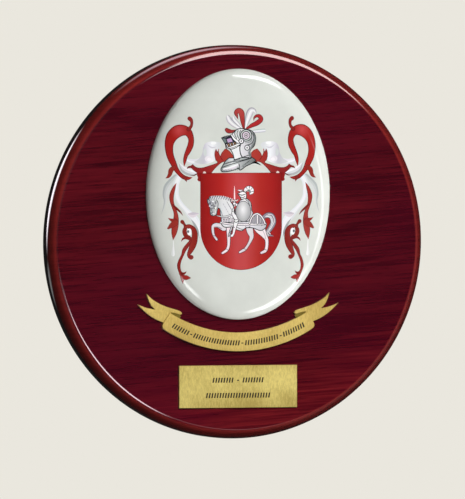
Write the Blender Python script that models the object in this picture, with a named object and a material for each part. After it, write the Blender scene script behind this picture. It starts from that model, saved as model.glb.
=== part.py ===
"""Round wooden wall plaque: a lacquered board that carries an oval glazed medallion,
a folded brass scroll and a small brass nameplate.

Frame: metres, +Z up. The board's flat back lies in the plane y = 0 and its front faces -Y.
The origin is the centre of the back, where the plaque meets the wall.
"""

import math

import bmesh
import bpy
from mathutils import Vector

MM = 0.001

# The gap that each applied piece keeps to the board's face
GLUE_GAP = 0.3 * MM

# Board
BOARD_RADIUS = 125 * MM
BOARD_THICKNESS = 15 * MM
EDGE_ROUND = 9 * MM
FACE_FILLET = 3.8 * MM
EDGE_START = math.radians(30)
BACK_CHAMFER = 1.5 * MM
BOARD_SIDES = 128
FACE_RADIUS = BOARD_RADIUS - EDGE_ROUND * (1 - math.sin(EDGE_START)) - FACE_FILLET * math.sin(EDGE_START)

# Keyhole slot in the back, for a screw head in the wall
KEYHOLE_HEIGHT = 78 * MM
KEYHOLE_TRAVEL = 13 * MM
KEYHOLE_HEAD_RADIUS = 5.5 * MM
KEYHOLE_SHANK_RADIUS = 3 * MM
KEYHOLE_LIP = 3 * MM
KEYHOLE_DEPTH = 9 * MM
KEYHOLE_SIDES = 24

# Oval medallion
MEDALLION_HALF_WIDTH = 61 * MM
MEDALLION_HALF_HEIGHT = 79.6 * MM
MEDALLION_RISE = 30.4 * MM
MEDALLION_WALL = 1.2 * MM
MEDALLION_SHOULDER = 5 * MM
SHOULDER_WIDTH = 15 * MM
MEDALLION_CROWN = 1.2 * MM
MEDALLION_SIDES = 96

# Scroll: the band is bounded by two arcs centred on the plaque's upright axis
BAND_TOP = -57.4 * MM
BAND_BOTTOM = -69.3 * MM
BAND_TOP_ARC = 87.6 * MM
BAND_BOTTOM_ARC = 93.5 * MM
BAND_TOP_HALF_ANGLE = math.radians(31.4)
BAND_BOTTOM_HALF_ANGLE = math.radians(33.6)
BAND_CORNER = 3.2 * MM
BAND_STEPS = 28
BAND_HEIGHT = 2.0 * MM
TAIL_HEIGHT = 1.3 * MM
FOLD_HEIGHT = 0.7 * MM

# Nameplate
NAMEPLATE_WIDTH = 78.6 * MM
NAMEPLATE_HEIGHT = 27 * MM
NAMEPLATE_THICKNESS = 1.2 * MM
NAMEPLATE_BEVEL = 0.3 * MM
NAMEPLATE_DROP = -91.7 * MM

BOARD_FACE_Y = -BOARD_THICKNESS
APPLIED_BACK_Y = BOARD_FACE_Y - GLUE_GAP


def clear_scene():
    for obj in list(bpy.data.objects):
        bpy.data.objects.remove(obj)


def material(name, colour, roughness, metallic=0.0, coat=0.0):
    made = bpy.data.materials.new(name)
    made.use_nodes = True
    shader = made.node_tree.nodes["Principled BSDF"]
    shader.inputs["Base Color"].default_value = (*colour, 1)
    shader.inputs["Roughness"].default_value = roughness
    shader.inputs["Metallic"].default_value = metallic
    shader.inputs["Coat Weight"].default_value = coat
    return made


def add_object(name, bm, finish=None):
    """Closes the bmesh into a mesh object whose faces point out."""
    bmesh.ops.recalc_face_normals(bm, faces=bm.faces)
    mesh = bpy.data.meshes.new(name)
    bm.to_mesh(mesh)
    bm.free()
    if finish:
        mesh.materials.append(finish)
    obj = bpy.data.objects.new(name, mesh)
    bpy.context.scene.collection.objects.link(obj)
    return obj


def smooth(obj, sharp_degrees=28):
    obj.data.shade_smooth()
    obj.data.set_sharp_from_angle(angle=math.radians(sharp_degrees))


def helper(obj):
    obj.hide_render = True
    obj.display_type = "WIRE"
    return obj


def boolean(obj, other, operation):
    modifier = obj.modifiers.new(f"{operation} {other.name}", "BOOLEAN")
    modifier.operation = operation
    modifier.object = other


def loft(bm, rings):
    """Skins closed rings of equal length, and caps the first and the last."""
    loops = [[bm.verts.new(point) for point in ring] for ring in rings]
    count = len(loops[0])
    for low, high in zip(loops, loops[1:]):
        for i in range(count):
            j = (i + 1) % count
            bm.faces.new((low[i], low[j], high[j], high[i]))
    bm.faces.new(loops[0])
    bm.faces.new(list(reversed(loops[-1])))


def oval(half_width, half_height, y, centre_z, sides):
    turns = (2 * math.pi * i / sides for i in range(sides))
    return [Vector((half_width * math.cos(t), y, centre_z + half_height * math.sin(t))) for t in turns]


def prism(name, outline, y_back, y_front, finish=None):
    """A plate with this outline of (x, z) points, from y_back to y_front."""
    bm = bmesh.new()
    loft(bm, [[Vector((x, y, z)) for x, z in outline] for y in (y_back, y_front)])
    return add_object(name, bm, finish)


def curve_through(points, steps=4):
    """A Catmull-Rom line through the points, with its ends kept."""
    padded = [points[0], *points, points[-1]]
    line = []
    for a, b, c, d in zip(padded, padded[1:], padded[2:], padded[3:]):
        for i in range(steps):
            t = i / steps
            line.append(tuple(
                0.5 * (2 * b[k] + (c[k] - a[k]) * t
                       + (2 * a[k] - 5 * b[k] + 4 * c[k] - d[k]) * t * t
                       + (3 * b[k] - a[k] - 3 * c[k] + d[k]) * t ** 3)
                for k in range(2)))
    line.append(tuple(points[-1]))
    return line


def in_metres(points):
    return [(x * MM, z * MM) for x, z in points]


def mirrored(outline):
    return [(-x, z) for x, z in reversed(outline)]


def board_profile():
    """(radius, depth behind the face) from the face's edge, over the rounded rim, to the back."""
    profile = []
    for i in range(4):
        turn = EDGE_START * i / 3
        profile.append((FACE_RADIUS + FACE_FILLET * math.sin(turn), FACE_FILLET * (1 - math.cos(turn))))
    fillet_depth = profile[-1][1]
    for i in range(1, 8):
        turn = EDGE_START + (math.pi / 2 - EDGE_START) * i / 7
        profile.append((
            BOARD_RADIUS - EDGE_ROUND * (1 - math.sin(turn)),
            fillet_depth + EDGE_ROUND * (math.cos(EDGE_START) - math.cos(turn))))
    profile.append((BOARD_RADIUS, BOARD_THICKNESS - BACK_CHAMFER))
    profile.append((BOARD_RADIUS - BACK_CHAMFER, BOARD_THICKNESS))
    return profile


def stadium(radius, z_low, z_high):
    """An upright slot's outline: two half circles joined by straight sides."""
    half = KEYHOLE_SIDES // 2
    upper = [(radius * math.cos(math.pi * i / half), z_high + radius * math.sin(math.pi * i / half))
             for i in range(half + 1)]
    lower = [(-x, z_low - (z - z_high)) for x, z in upper]
    return upper + lower


def keyhole_cutters():
    """The mouth and shank slot from the back, and the wider pocket behind the lip for the screw's head."""
    low = KEYHOLE_HEIGHT
    high = KEYHOLE_HEIGHT + KEYHOLE_TRAVEL
    outside = 2 * MM
    mouth = [(KEYHOLE_HEAD_RADIUS * math.cos(2 * math.pi * i / KEYHOLE_SIDES),
              low + KEYHOLE_HEAD_RADIUS * math.sin(2 * math.pi * i / KEYHOLE_SIDES))
             for i in range(KEYHOLE_SIDES)]
    shank = stadium(KEYHOLE_SHANK_RADIUS, low, high)
    pocket = stadium(KEYHOLE_HEAD_RADIUS * 1.04, low, high)
    return [
        helper(prism("keyhole_mouth_cutter", mouth, outside, -KEYHOLE_DEPTH + 1 * MM)),
        helper(prism("keyhole_shank_cutter", shank, outside, -KEYHOLE_DEPTH + 2 * MM)),
        helper(prism("keyhole_pocket_cutter", pocket, -KEYHOLE_LIP, -KEYHOLE_DEPTH)),
    ]


def make_board():
    bm = bmesh.new()
    loft(bm, [oval(r, r, BOARD_FACE_Y + depth, 0, BOARD_SIDES) for r, depth in board_profile()])
    finish = material("rosewood lacquer", (0.075, 0.006, 0.011), 0.12, coat=1.0)
    board = add_object("board", bm, finish)
    for cutter in keyhole_cutters():
        boolean(board, cutter, "DIFFERENCE")
    smooth(board)
    return board


def medallion_rings():
    """Ovals from the back edge up the wall, over the shoulder and across the low crown."""
    def ring(inset, shrink, height):
        half_width = (MEDALLION_HALF_WIDTH - inset) * shrink
        half_height = (MEDALLION_HALF_HEIGHT - inset) * shrink
        crown = MEDALLION_CROWN * (1 - (half_width / MEDALLION_HALF_WIDTH) ** 2)
        y = APPLIED_BACK_Y - height - crown
        return oval(half_width, half_height, y, MEDALLION_RISE, MEDALLION_SIDES)

    back = oval(MEDALLION_HALF_WIDTH, MEDALLION_HALF_HEIGHT, APPLIED_BACK_Y, MEDALLION_RISE, MEDALLION_SIDES)
    rings = [back]
    shoulder_steps = 8
    for i in range(shoulder_steps + 1):
        turn = math.pi / 2 * i / shoulder_steps
        inset = SHOULDER_WIDTH * (1 - math.cos(turn))
        rings.append(ring(inset, 1, MEDALLION_WALL + MEDALLION_SHOULDER * math.sin(turn)))
    for shrink in (0.75, 0.5, 0.25, 0.08):
        rings.append(ring(SHOULDER_WIDTH, shrink, MEDALLION_WALL + MEDALLION_SHOULDER))
    return rings


def make_medallion():
    bm = bmesh.new()
    loft(bm, medallion_rings())
    finish = material("white glaze", (0.68, 0.70, 0.65), 0.08, coat=1.0)
    medallion = add_object("medallion", bm, finish)
    smooth(medallion, 50)
    return medallion


def arc_point(radius, lowest_z, angle):
    """A point on an arc that hangs from the upright axis, its lowest point at lowest_z."""
    return (radius * math.sin(angle), lowest_z + radius * (1 - math.cos(angle)))


def rounded(before, corner, after, radius, steps=5):
    """The corner of an outline, replaced by a quadratic curve that starts and ends radius away."""
    c = Vector(corner)
    start = c + (Vector(before) - c).normalized() * radius
    end = c + (Vector(after) - c).normalized() * radius
    ts = [i / steps for i in range(steps + 1)]
    return [tuple(start * (1 - t) ** 2 + c * 2 * t * (1 - t) + end * t * t) for t in ts]


def band_outline():
    """The scroll's front band, counterclockwise from its lower right end."""
    def arc(radius, lowest_z, half_angle):
        return [arc_point(radius, lowest_z, half_angle * (2 * i / BAND_STEPS - 1)) for i in range(BAND_STEPS + 1)]

    lower = arc(BAND_BOTTOM_ARC, BAND_BOTTOM, BAND_BOTTOM_HALF_ANGLE)
    upper = arc(BAND_TOP_ARC, BAND_TOP, BAND_TOP_HALF_ANGLE)
    left = rounded(upper[0], lower[0], lower[2], BAND_CORNER)
    return left + lower[2:-2] + mirrored(left) + upper[::-1]


def tail_outline():
    """The left tail: from the fold along the top to the upper tip, the notch, the lower tip and back."""
    top = curve_through([(-37.4, -45.2), (-38.4, -43.7), (-42.2, -42.4), (-47.8, -40.7),
                         (-52.9, -38.5), (-57.4, -35.7), (-60.9, -32.4)])
    notch_upper = curve_through([(-60.9, -32.4), (-59.6, -36.5), (-57.8, -40.0), (-55.2, -42.4)])
    notch_lower = curve_through([(-55.2, -42.4), (-59.1, -41.7), (-62.8, -40.7), (-66.9, -39.0)])
    bottom = curve_through([(-66.9, -39.0), (-63.3, -42.6), (-59.1, -46.0), (-54.4, -48.8), (-49.0, -51.0)])
    under_band = [(-46.8, -50.6), (-44.2, -46.8)]
    fold_edge = curve_through([(-44.9, -44.3), (-41.5, -44.9), (-38.6, -45.8)], 3)
    return in_metres(top[:-1] + notch_upper[:-1] + notch_lower[:-1] + bottom + under_band + fold_edge)


def fold_outline():
    """The back of the ribbon, seen between the tail and the band, mostly hidden under both."""
    return in_metres([(-44.6, -43.6), (-38.9, -45.3), (-38.0, -46.9), (-39.3, -48.9), (-41.5, -51.0), (-46.0, -48.5)])


def make_scroll():
    brass = material("scroll brass", (0.70, 0.52, 0.13), 0.34, metallic=1.0)
    scroll = prism("scroll", band_outline(), APPLIED_BACK_Y, APPLIED_BACK_Y - BAND_HEIGHT, brass)
    layers = (("tail", tail_outline(), TAIL_HEIGHT), ("fold", fold_outline(), FOLD_HEIGHT))
    for name, outline, height in layers:
        for side, shape in (("left", outline), ("right", mirrored(outline))):
            layer = prism(f"{name}_{side}_shape", shape, APPLIED_BACK_Y, APPLIED_BACK_Y - height)
            boolean(scroll, helper(layer), "UNION")
    return scroll


def make_nameplate():
    half_width = NAMEPLATE_WIDTH / 2
    half_height = NAMEPLATE_HEIGHT / 2

    def ring(inset, y):
        x = half_width - inset
        z = half_height - inset
        return [Vector((sx * x, y, NAMEPLATE_DROP + sz * z)) for sx, sz in ((-1, -1), (1, -1), (1, 1), (-1, 1))]

    front = APPLIED_BACK_Y - NAMEPLATE_THICKNESS
    bm = bmesh.new()
    loft(bm, [ring(0, APPLIED_BACK_Y), ring(0, front + NAMEPLATE_BEVEL), ring(NAMEPLATE_BEVEL, front)])
    return add_object("nameplate", bm, material("nameplate brass", (0.60, 0.45, 0.13), 0.32, metallic=1.0))


def main():
    clear_scene()
    make_board()
    make_medallion()
    make_scroll()
    make_nameplate()


main()
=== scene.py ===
"""Looks of a round wall plaque: lacquered rosewood board, oval glazed medallion with a printed crest,
folded brass scroll and brass nameplate.

Lengths are in millimetres in the plaque's own frame (x to the right, z up, y into the wall) and turn
into metres as each mesh is made.
"""

import math

import bmesh
import bpy
import numpy as np
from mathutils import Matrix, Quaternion, Vector
from mathutils.geometry import delaunay_2d_cdt


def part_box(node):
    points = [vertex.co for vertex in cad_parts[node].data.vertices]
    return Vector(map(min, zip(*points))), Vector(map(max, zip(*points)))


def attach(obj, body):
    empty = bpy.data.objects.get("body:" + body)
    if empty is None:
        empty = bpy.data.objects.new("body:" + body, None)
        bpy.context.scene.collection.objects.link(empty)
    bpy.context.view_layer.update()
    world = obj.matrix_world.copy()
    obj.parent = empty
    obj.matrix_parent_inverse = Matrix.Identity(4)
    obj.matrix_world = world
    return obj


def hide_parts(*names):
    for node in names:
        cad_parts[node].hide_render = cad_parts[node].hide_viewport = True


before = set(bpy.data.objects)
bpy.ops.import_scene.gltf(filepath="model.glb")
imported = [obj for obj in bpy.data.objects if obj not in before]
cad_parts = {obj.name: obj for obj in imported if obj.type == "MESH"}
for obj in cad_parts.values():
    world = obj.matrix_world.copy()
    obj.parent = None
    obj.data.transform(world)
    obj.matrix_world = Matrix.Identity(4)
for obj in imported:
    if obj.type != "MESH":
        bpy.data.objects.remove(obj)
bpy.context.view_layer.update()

MM = 0.001


def node_box(name):
    """Lowest and highest corner of a CAD node, in millimetres."""
    low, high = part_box(name)
    return low / MM, high / MM


# Sizes read from the frame
BOARD_LOW, BOARD_HIGH = node_box("board")
MEDALLION_LOW, MEDALLION_HIGH = node_box("medallion")
SCROLL_LOW, SCROLL_HIGH = node_box("scroll")
PLATE_LOW, PLATE_HIGH = node_box("nameplate")
BOARD_RADIUS = BOARD_HIGH.x
BOARD_FACE_Y = BOARD_LOW.y
BOARD_THICKNESS = BOARD_HIGH.y - BOARD_LOW.y

# Board's edge, from the face round to the back
EDGE_ROUND = 9
FACE_FILLET = 3.8
EDGE_START = math.radians(30)
BACK_CHAMFER = 1.5
BOARD_SIDES = 360
# Depth behind the face where the dark paint of the side and back starts; on the rim's outermost edge it
# is also painted shade
BACK_PAINT_AND_SHADE_FROM = 7
FACE_RADIUS = (BOARD_RADIUS - EDGE_ROUND * (1 - math.sin(EDGE_START))
               - FACE_FILLET * math.sin(EDGE_START))

# Keyhole slot in the board's back
KEYHOLE_HEIGHT = 78
KEYHOLE_TRAVEL = 13
KEYHOLE_HEAD_RADIUS = 5.5
KEYHOLE_POCKET_RADIUS = KEYHOLE_HEAD_RADIUS * 1.04
KEYHOLE_SHANK_RADIUS = 3
KEYHOLE_LIP = 3
KEYHOLE_DEPTH = 9

# Medallion
OVAL_HALF_WIDTH = (MEDALLION_HIGH.x - MEDALLION_LOW.x) / 2
OVAL_HALF_HEIGHT = (MEDALLION_HIGH.z - MEDALLION_LOW.z) / 2
OVAL_CENTRE_Z = (MEDALLION_HIGH.z + MEDALLION_LOW.z) / 2
OVAL_WALL = 1.2
SHOULDER_RISE = 5
SHOULDER_WIDTH = 15
OVAL_CROWN = MEDALLION_HIGH.y - MEDALLION_LOW.y - OVAL_WALL - SHOULDER_RISE
PRINT_INSET = 3
OVAL_SIDES = 256
PRINT_GRID = 1.6
PRINT_ROW_STEP = 0.87
PRINT_LIFT = 0.6

# Scroll
BAND_TOP = -57.4
BAND_BOTTOM = SCROLL_LOW.z
BAND_TOP_ARC = 87.6
BAND_BOTTOM_ARC = 93.5
BAND_TOP_HALF_ANGLE = math.radians(31.4)
BAND_BOTTOM_HALF_ANGLE = math.radians(33.6)
BAND_CORNER = 3.2
BAND_HEIGHT = SCROLL_HIGH.y - SCROLL_LOW.y
TAIL_HEIGHT = 1.3
FOLD_HEIGHT = 0.7
METAL_EDGE = 0.18
PLATE_EDGE = 0.3

# Engraving
MARK_DEPTH = 0.15
MARK_HEIGHT = 3.2
MARK_WIDTH = 0.95
MARK_PITCH = 1.8
MARK_LEAN = 0.6
DASH_HALF_LENGTH = 0.7
DASH_LOW = 1.1
DASH_HIGH = 1.8
SCROLL_ROW_Z = -65.6
SCROLL_ROW_ARC = 90.5

# Clear coats
LACQUER_IOR = 1.7
GLAZE_IOR = 1.6

# Scale of the noise that makes the upright brushing on brass
BRUSHING = (1300, 1000, 420)

# Camera
IMAGE_WIDTH = 465
IMAGE_HEIGHT = 499
CAMERA_AZIMUTH = math.radians(-17.75)
CAMERA_ELEVATION = math.radians(1.25)
LENS = 1200
SENSOR = 36
PHOTO_SCALE = 0.6352
PHOTO_CENTRE = (233.93, 241.79)

# Floor, in metres
FLOOR_HALF_SIZE = 12
FLOOR_Z = -2


def linear(colour):
    """A 0 to 255 sRGB colour as linear values."""
    values = np.asarray(colour, float) / 255
    return np.where(values <= 0.04045, values / 12.92, ((values + 0.055) / 1.055) ** 2.4)


def rgba(colour):
    return (*linear(colour), 1.0)


# Curves and meshes

def curve_through(points, spacing=0.6):
    """A Catmull-Rom line through the points, each a tuple of any length, with its ends kept."""
    pts = [np.asarray(p, float) for p in points]
    padded = [pts[0], *pts, pts[-1]]
    line = []
    for a, b, c, d in zip(padded, padded[1:], padded[2:], padded[3:]):
        steps = max(1, math.ceil(np.hypot(*(c - b)[:2]) / spacing))
        for i in range(steps):
            t = i / steps
            line.append(0.5 * (2 * b + (c - a) * t + (2 * a - 5 * b + 4 * c - d) * t * t
                               + (3 * b - a - 3 * c + d) * t ** 3))
    line.append(pts[-1])
    return np.array(line)


def closed(*runs, spacing=0.6):
    """A closed outline of smooth runs that meet at corners; each ends where the next one starts."""
    lines = []
    for run, following in zip(runs, runs[1:] + runs[:1]):
        lines.append(curve_through([*run, following[0]], spacing)[:-1])
    return np.concatenate(lines)


def polygon(*corners):
    return closed(*[[corner] for corner in corners])


def ellipse(x, z, half_width, half_height, sides=None):
    sides = sides or max(12, round(2 * math.pi * max(half_width, half_height) / 0.5))
    turns = np.arange(sides) * 2 * math.pi / sides
    return np.stack([x + half_width * np.cos(turns), z + half_height * np.sin(turns)], 1)


def mirrored(outline):
    return np.asarray(outline)[::-1] * (-1, 1)


def mesh_object(name, bm):
    bmesh.ops.recalc_face_normals(bm, faces=bm.faces)
    bmesh.ops.scale(bm, vec=(MM, MM, MM), verts=bm.verts)
    mesh = bpy.data.meshes.new(name)
    bm.to_mesh(mesh)
    bm.free()
    obj = bpy.data.objects.new(name, mesh)
    bpy.context.scene.collection.objects.link(obj)
    return obj


def smooth(obj, sharp_degrees=30):
    obj.data.shade_smooth()
    obj.data.set_sharp_from_angle(angle=math.radians(sharp_degrees))


def loft(bm, rings, cap_front=True):
    """Skins closed rings of (x, y, z) points from the back to the front."""
    loops = [[bm.verts.new(point) for point in ring] for ring in rings]
    count = len(loops[0])
    for low, high in zip(loops, loops[1:]):
        for i in range(count):
            j = (i + 1) % count
            bm.faces.new((low[i], low[j], high[j], high[i]))
    bm.faces.new(loops[0])
    if cap_front:
        bm.faces.new(list(reversed(loops[-1])))
    return loops


def at_depth(outline, y):
    return [(x, y, z) for x, z in outline]


def prism(name, outline, y_back, y_front):
    bm = bmesh.new()
    loft(bm, [at_depth(outline, y_back), at_depth(outline, y_front)])
    return mesh_object(name, bm)


def inset(outline, distance):
    """The outline moved inwards; it runs counterclockwise."""
    points = np.asarray(outline, float)
    before = points - np.roll(points, 1, 0)
    after = np.roll(points, -1, 0) - points
    before /= np.linalg.norm(before, axis=1)[:, None]
    after /= np.linalg.norm(after, axis=1)[:, None]
    normal = np.stack([-(before + after)[:, 1], (before + after)[:, 0]], 1)
    length = np.linalg.norm(normal, axis=1)
    miter = np.minimum(2 / np.maximum(length, 1e-6), 1.8)
    return points + normal / length[:, None] * (distance * miter)[:, None]


def counterclockwise(outline):
    x, z = np.asarray(outline).T
    area = (x * np.roll(z, -1) - np.roll(x, -1) * z).sum()
    return np.asarray(outline) if area > 0 else np.asarray(outline)[::-1]


def plate(name, outline, y_back, y_front, edge=METAL_EDGE):
    """A flat plate whose front edge is rounded a little."""
    outline = counterclockwise(outline)
    rings = [at_depth(outline, y_back)]
    for i in range(4):
        turn = math.pi / 2 * i / 3
        y = y_front + edge * (1 - math.sin(turn))
        rings.append(at_depth(inset(outline, edge * (1 - math.cos(turn))), y))
    bm = bmesh.new()
    loft(bm, rings)
    return mesh_object(name, bm)


def apply_booleans(obj, others, operation):
    """Joins or cuts the object with the others, which are used up."""
    for other in others:
        modifier = obj.modifiers.new(other.name, "BOOLEAN")
        modifier.operation = operation
        modifier.object = other
    evaluated = obj.evaluated_get(bpy.context.evaluated_depsgraph_get())
    mesh = bpy.data.meshes.new_from_object(evaluated)
    obj.modifiers.clear()
    obj.data = mesh
    for other in others:
        bpy.data.objects.remove(other)


# Shader nodes

class Shader:
    """A material's node tree, with short ways to add nodes to it."""

    def __init__(self, name):
        self.material = bpy.data.materials.new(name)
        self.material.use_nodes = True
        self.tree = self.material.node_tree
        self.principled = self.tree.nodes["Principled BSDF"]

    def put(self, made, inputs):
        for key, value in inputs.items():
            if isinstance(value, bpy.types.NodeSocket):
                self.tree.links.new(value, made.inputs[key])
            else:
                made.inputs[key].default_value = value
        return made

    def node(self, kind, inputs, output=0, **settings):
        made = self.tree.nodes.new(kind)
        for key, value in settings.items():
            setattr(made, key, value)
        self.put(made, inputs)
        return made.outputs[output]

    def surface(self, **inputs):
        self.put(self.principled, {key.replace("_", " "): value for key, value in inputs.items()})

    def place(self, scale=(1, 1, 1), turn=0.0):
        """Object coordinates in metres, turned about y and then stretched."""
        where = self.node("ShaderNodeTexCoord", {}, "Object")
        if turn:
            where = self.node("ShaderNodeMapping", {"Vector": where, "Rotation": (0, turn, 0)})
        return self.node("ShaderNodeMapping", {"Vector": where, "Scale": scale})

    def noise(self, scale, detail=2.0, roughness=0.5, distortion=0.0, turn=0.0):
        return self.node("ShaderNodeTexNoise", {
            "Vector": self.place(scale, turn), "Scale": 1.0, "Detail": detail, "Roughness": roughness,
            "Distortion": distortion})

    def ramp(self, value, low, high, to_low=0.0, to_high=1.0, smooth_ends=True):
        return self.node("ShaderNodeMapRange", {0: value, 1: low, 2: high, 3: to_low, 4: to_high},
                         interpolation_type="SMOOTHSTEP" if smooth_ends else "LINEAR")

    def math(self, operation, a, b=0.0):
        return self.node("ShaderNodeMath", {0: a, 1: b}, operation=operation)

    def mix(self, factor, a, b, blend="MIX"):
        return self.node("ShaderNodeMix", {0: factor, 6: a, 7: b}, 2,
                         data_type="RGBA", blend_type=blend)

    def bump(self, height, strength, distance):
        return self.node("ShaderNodeBump",
                         {"Height": height, "Strength": strength, "Distance": distance})


def rosewood():
    """Dark red wood with nearly level grain, under a gloss lacquer; the side and back are painted dark,
    and on the rim's outer edge that dark is painted shade.
    """
    s = Shader("rosewood lacquer")
    rise = math.radians(4)
    fibres = s.noise((20, 9, 760), 4, 0.66, turn=rise)
    streaks = s.noise((9, 4, 150), 3, 0.55, 0.4, rise)
    bands = s.noise((5, 3, 34), distortion=0.6, turn=rise)
    clouds = s.noise((7, 5, 9), 1)
    tone = s.math("ADD", s.math("MULTIPLY", fibres, 0.40), s.math("MULTIPLY", streaks, 0.32))
    tone = s.math("ADD", tone, s.math("MULTIPLY", bands, 0.28))
    tone_share = s.ramp(tone, 0.36, 0.64)
    wood = s.mix(tone_share, rgba((53, 0, 12)), rgba((97, 15, 26)))
    wood = s.mix(s.ramp(clouds, 0.40, 0.62, 0.0, 0.4), wood, rgba((68, 1, 25)))
    pores = s.noise((70, 20, 1500), 1, turn=rise)
    wood = s.mix(s.ramp(pores, 0.60, 0.72, 0.0, 0.35), wood, rgba((36, 0, 8)))
    where = s.place()
    low_right = s.node("ShaderNodeVectorMath", {0: where, 1: (0.24, 0, -1)}, 1, operation="DOT_PRODUCT")
    wood = s.mix(s.ramp(low_right, 0.05, 0.115), wood, (1.6, 2.1, 1.35, 1), "MULTIPLY")
    # The rim's wood is redder and paler than the face. Its paler inner band starts nearer the face on
    # the right than on the left, and is also a painted highlight for the lacquer's reflection along the
    # inner edge.
    from_axis = s.node("ShaderNodeVectorMath", {0: s.place((1, 0, 1))}, 1, operation="LENGTH")
    across_board = s.node("ShaderNodeSeparateXYZ", {0: where})
    from_axis = s.math("SUBTRACT", from_axis, s.ramp(across_board, -0.06, 0.06, 1.2 * MM, 0.0))
    edge = s.ramp(from_axis, (FACE_RADIUS - 0.1) * MM, (FACE_RADIUS + 1) * MM)
    outer = s.ramp(from_axis, (FACE_RADIUS + 1.2) * MM, (FACE_RADIUS + 3) * MM)
    light_edge = s.mix(outer, rgba((134, 38, 36)), rgba((112, 27, 25)))
    dark_edge = s.mix(outer, rgba((114, 28, 28)), rgba((90, 18, 18)))
    wood = s.mix(edge, wood, s.mix(tone_share, dark_edge, light_edge))
    # Dark paint on the side and back. It starts far enough forward to cover the rim's outermost edge,
    # where the dark is also painted shade.
    depth = s.node("ShaderNodeSeparateXYZ", {0: where}, 1)
    paint_and_shade_from = (BOARD_FACE_Y + BACK_PAINT_AND_SHADE_FROM) * MM
    painted = s.ramp(depth, paint_and_shade_from - 0.0006, paint_and_shade_from + 0.0006)
    paint = s.mix(s.ramp(clouds, 0.35, 0.65), rgba((30, 13, 12)), rgba((40, 18, 16)))
    s.surface(Base_Color=s.mix(painted, wood, paint), Roughness=s.ramp(fibres, 0.3, 0.7, 0.03, 0.06),
              IOR=LACQUER_IOR, Normal=s.bump(streaks, 0.03, 0.0002))
    return s.material


def printed_glaze():
    """White glaze; the colours of the print come with the mesh."""
    s = Shader("white glaze")
    paint = s.node("ShaderNodeVertexColor", {}, layer_name="print")
    mottle = s.ramp(s.noise((60, 60, 60), 3), 0.3, 0.7, 0.96, 1.02)
    grey = s.node("ShaderNodeCombineColor", {0: mottle, 1: mottle, 2: mottle})
    ripple = s.noise((25, 25, 25), 1)
    s.surface(Base_Color=s.mix(1.0, paint, grey, "MULTIPLY"), IOR=GLAZE_IOR,
              Roughness=s.ramp(ripple, 0.3, 0.7, 0.06, 0.1), Normal=s.bump(ripple, 0.04, 0.0004))
    return s.material


def brass(name, pale, deep, painted_highlight=None):
    """Satin brass with fine upright brushing; a painted highlight, if given, is the middle and the
    reach of a paler area that stands in for a reflection.
    """
    s = Shader(name)
    brushing = s.noise(BRUSHING, 3, 0.7)
    clouds = s.noise((34, 34, 34), 3)
    tone = s.math("ADD", s.math("MULTIPLY", brushing, 0.55), s.math("MULTIPLY", clouds, 0.45))
    # A paler patch round a point: a painted highlight.
    if painted_highlight:
        (x, z), (reach_x, reach_z) = painted_highlight
        where = s.node("ShaderNodeMapping", {
            "Vector": s.place(), "Location": (-x / reach_x, 0, -z / reach_z),
            "Scale": (1 / (reach_x * MM), 0, 1 / (reach_z * MM))})
        away = s.node("ShaderNodeVectorMath", {0: where}, 1, operation="LENGTH")
        tone = s.math("ADD", tone, s.ramp(away, 0.0, 1.0, 0.08, -0.06))
    colour = s.mix(s.ramp(tone, 0.36, 0.64, smooth_ends=False), rgba(deep), rgba(pale))
    s.surface(Base_Color=colour, Metallic=0.75, Roughness=s.ramp(brushing, 0.3, 0.7, 0.38, 0.5),
              Normal=s.bump(brushing, 0.2, 0.00005))
    return s.material


def grained(name, scale, dark, pale, detail=2.0, noise_roughness=0.5, **inputs):
    """A plain material whose colour wavers a little."""
    s = Shader(name)
    waver = s.noise(scale, detail, noise_roughness)
    s.surface(Base_Color=s.mix(waver, rgba(dark), rgba(pale)), **inputs)
    return s.material


def painted_fold_shade():
    """Painted shade: a darker brass for the ribbon's inside, seen where it folds under, in place of the
    shadow there.
    """
    return grained("painted fold shade", BRUSHING, (104, 90, 26), (138, 120, 48), 3, 0.7,
                   Metallic=0.5, Roughness=0.5)


def engraving_fill():
    return grained("engraving fill", (900, 900, 900), (34, 26, 10), (50, 40, 16), Roughness=0.6)


def floor_paper():
    return grained("floor paper", (40, 40, 40), (232, 229, 220), (236, 233, 225), 3, Roughness=0.8)


# Board

def board_profile():
    """(radius, depth behind the face) over the rounded rim to the back."""
    profile = [(FACE_RADIUS - 3, 0), (FACE_RADIUS - 0.1, 0)]
    for i in range(9):
        turn = EDGE_START * i / 8
        profile.append((FACE_RADIUS + FACE_FILLET * math.sin(turn), FACE_FILLET * (1 - math.cos(turn))))
    fillet_depth = profile[-1][1]
    for i in range(1, 25):
        turn = EDGE_START + (math.pi / 2 - EDGE_START) * i / 24
        profile.append((BOARD_RADIUS - EDGE_ROUND * (1 - math.sin(turn)),
                        fillet_depth + EDGE_ROUND * (math.cos(EDGE_START) - math.cos(turn))))
    profile.append((BOARD_RADIUS, BOARD_THICKNESS - BACK_CHAMFER))
    profile.append((BOARD_RADIUS - BACK_CHAMFER, BOARD_THICKNESS))
    return profile


def stadium(radius, low, high, steps=20):
    upper = [(radius * math.cos(math.pi * i / steps), high + radius * math.sin(math.pi * i / steps))
             for i in range(steps + 1)]
    return upper + [(-x, low + high - z) for x, z in upper]


def keyhole_cutters():
    low = KEYHOLE_HEIGHT
    high = KEYHOLE_HEIGHT + KEYHOLE_TRAVEL
    outside = 2
    mouth = ellipse(0, low, KEYHOLE_HEAD_RADIUS, KEYHOLE_HEAD_RADIUS, 48)
    shank = stadium(KEYHOLE_SHANK_RADIUS, low, high)
    pocket = stadium(KEYHOLE_POCKET_RADIUS, low, high)
    return [prism("keyhole_mouth", mouth, outside, 1 - KEYHOLE_DEPTH),
            prism("keyhole_shank", shank, outside, 2 - KEYHOLE_DEPTH),
            prism("keyhole_pocket", pocket, -KEYHOLE_LIP, -KEYHOLE_DEPTH)]


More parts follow.
